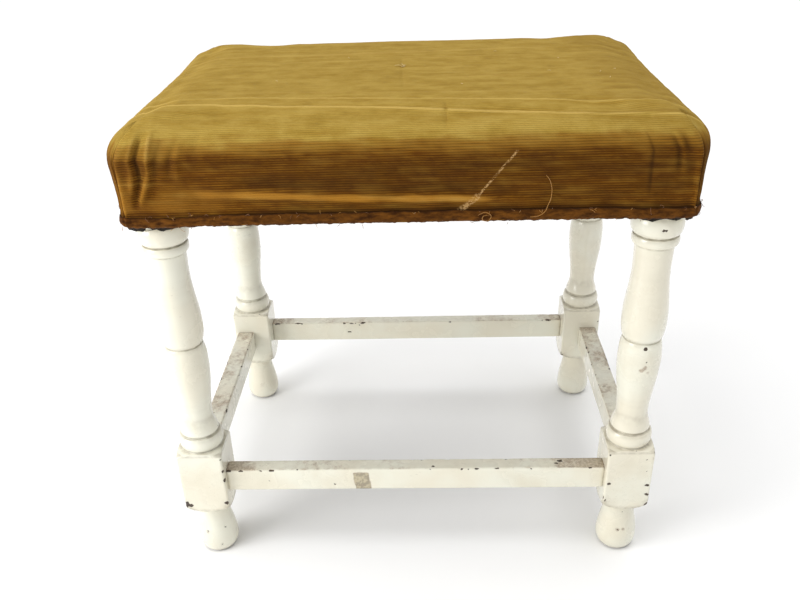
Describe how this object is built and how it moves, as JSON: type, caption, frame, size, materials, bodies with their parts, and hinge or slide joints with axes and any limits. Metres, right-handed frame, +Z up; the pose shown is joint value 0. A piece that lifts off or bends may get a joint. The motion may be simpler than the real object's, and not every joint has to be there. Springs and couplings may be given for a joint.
{
  "type": "piano bench",
  "caption": "Piano bench with turned painted legs, a box of low stretchers and a padded seat in ribbed cloth, for one player to sit on.",
  "frame": {"origin": "on the floor under the middle of the bench", "axes": "+X to the right as seen from the front, along the long side, +Y from the front to the back, +Z up"},
  "size_m": [0.5012, 0.3592, 0.4783],
  "materials": {
    "cream_paint": "old cream gloss paint on turned wood, chipped at edges",
    "bare_wood": "unpainted sawn hardwood",
    "plywood": "unfinished plywood",
    "steel": "plain steel screws",
    "tack_steel": "blued steel tacks, a little rusty",
    "foam": "aged upholstery foam",
    "wadding": "soft cotton wadding",
    "cord_cloth": "mustard needlecord with a fine rib and worn pile",
    "hem_cloth": "raw frayed cloth edge",
    "black_lining": "thin black lining cloth"
  },
  "bodies": {
    "root": {"leg_front_left": "cream_paint", "leg_front_right": "cream_paint", "leg_back_left": "cream_paint", "leg_back_right": "cream_paint", "stretcher_front": "cream_paint", "stretcher_back": "cream_paint", "stretcher_left": "cream_paint", "stretcher_right": "cream_paint", "seat_rail_front": "bare_wood", "seat_rail_back": "bare_wood", "seat_rail_left": "bare_wood", "seat_rail_right": "bare_wood", "corner_block_front_left": "bare_wood", "corner_block_front_right": "bare_wood", "corner_block_back_left": "bare_wood", "corner_block_back_right": "bare_wood", "corner_block_screws": "steel", "seat_board": "plywood", "seat_board_screws": "steel", "foam_pad": "foam", "wadding": "wadding", "seat_cover": "cord_cloth", "cover_hem_strip": "hem_cloth", "cover_tacks": "tack_steel", "underside_lining": "black_lining", "lining_tacks": "tack_steel"}
  },
  "joints": []
}
